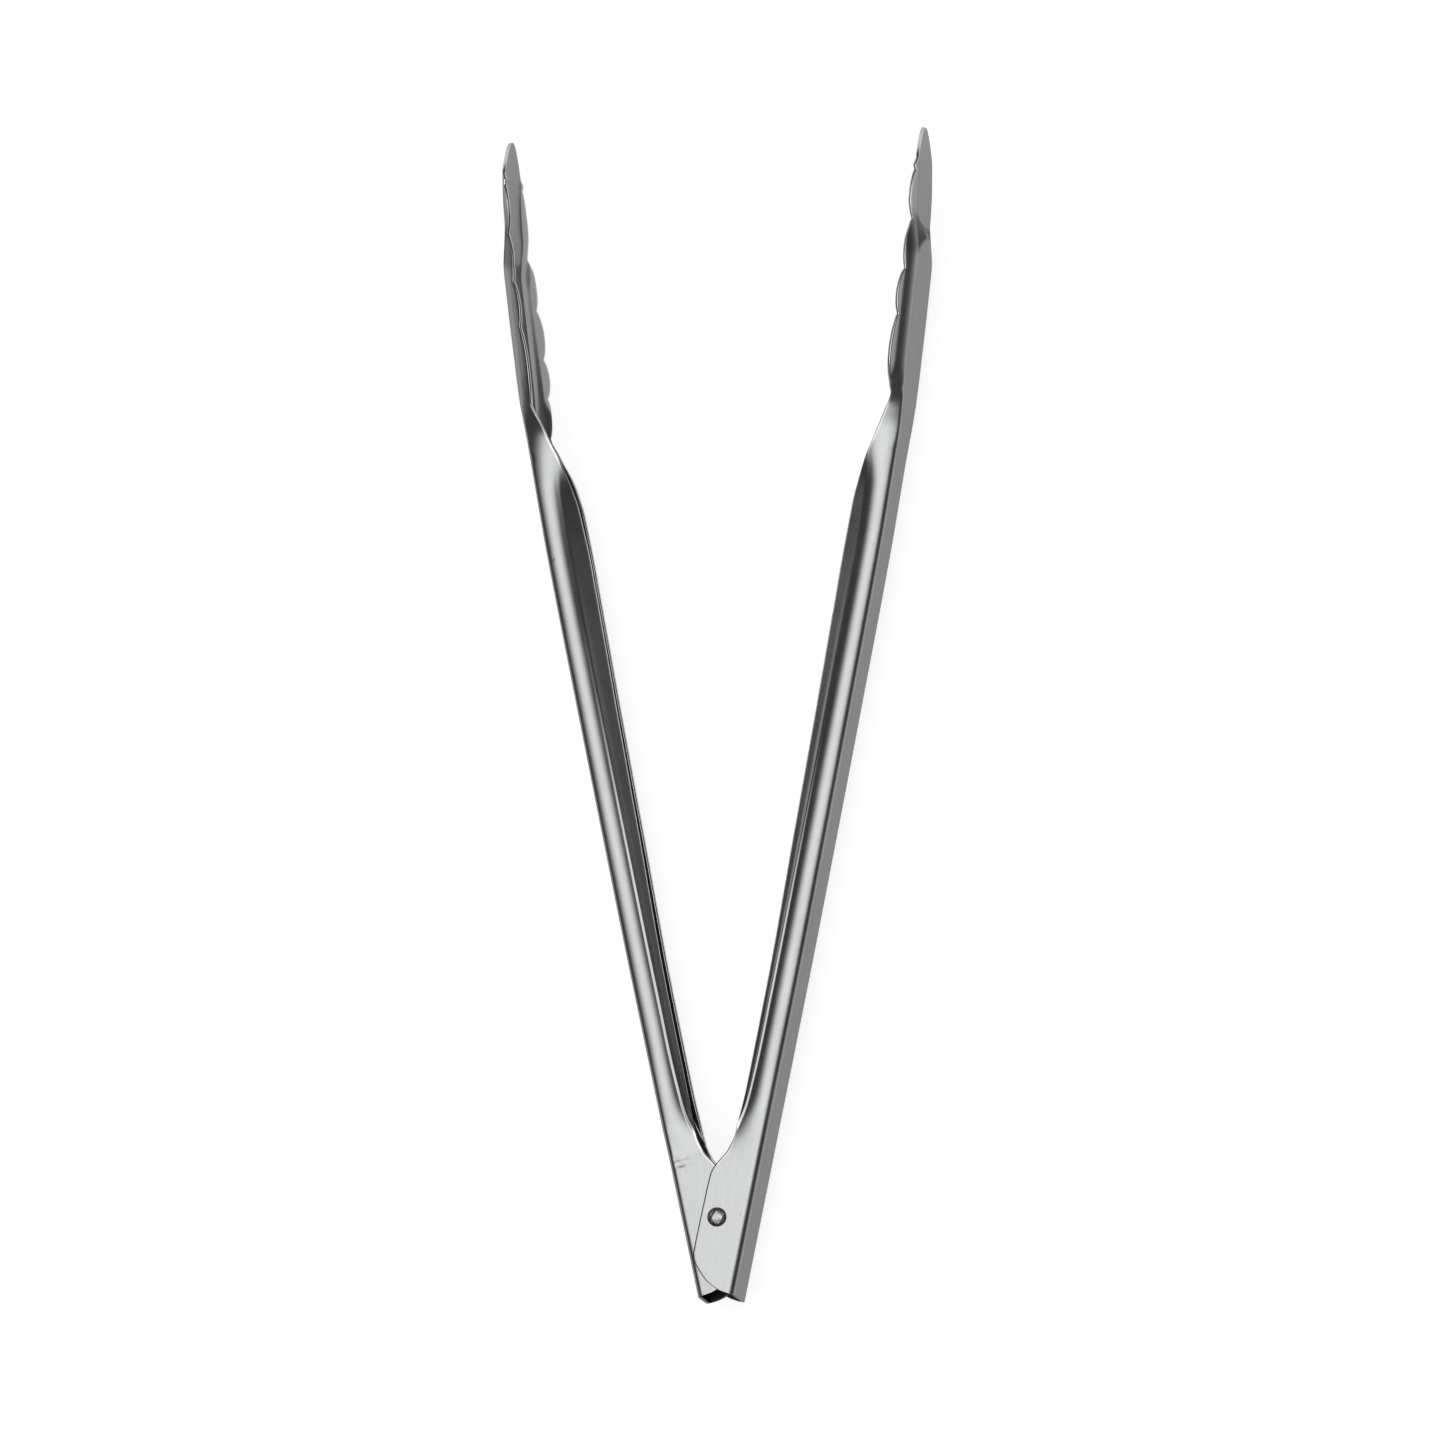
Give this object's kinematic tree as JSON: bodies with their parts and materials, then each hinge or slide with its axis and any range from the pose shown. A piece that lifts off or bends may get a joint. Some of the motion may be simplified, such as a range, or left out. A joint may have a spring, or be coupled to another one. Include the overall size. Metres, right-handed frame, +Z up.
{
  "type": "spring loaded kitchen tongs",
  "caption": "Sprung scalloped steel kitchen tongs: two pressed channel arms on a rivet pivot, held open by a torsion spring, close to grip and lift food.",
  "frame": {"origin": "middle of the underside of the box round the open tongs, lying on their side", "axes": "+Z up along the pivot rivet, +Y from the pivot to the jaws, arms opening to -X and +X"},
  "size_m": [0.1082, 0.2992, 0.0333],
  "materials": {
    "pressed_steel": "satin stainless steel with fine lengthwise grain",
    "rivet_steel": "peened bright stainless steel",
    "spring_steel": "drawn spring wire"
  },
  "bodies": {
    "outer_half": {"outer_arm": "pressed_steel", "pivot_rivet": "rivet_steel", "torsion_spring": "spring_steel"},
    "inner_half": {"inner_arm": "pressed_steel"}
  },
  "joints": [
    {"name": "arm_pivot", "type": "hinge", "parent": "outer_half", "child": "inner_half", "pos_m": [0.00113, -0.12965, 0.01666], "axis": [0, 0, 1], "range_deg": [-21.3, 0], "stiffness_Nm_per_rad": 0.6, "springref_deg": 20.05, "deforming": ["torsion_spring"]}
  ]
}
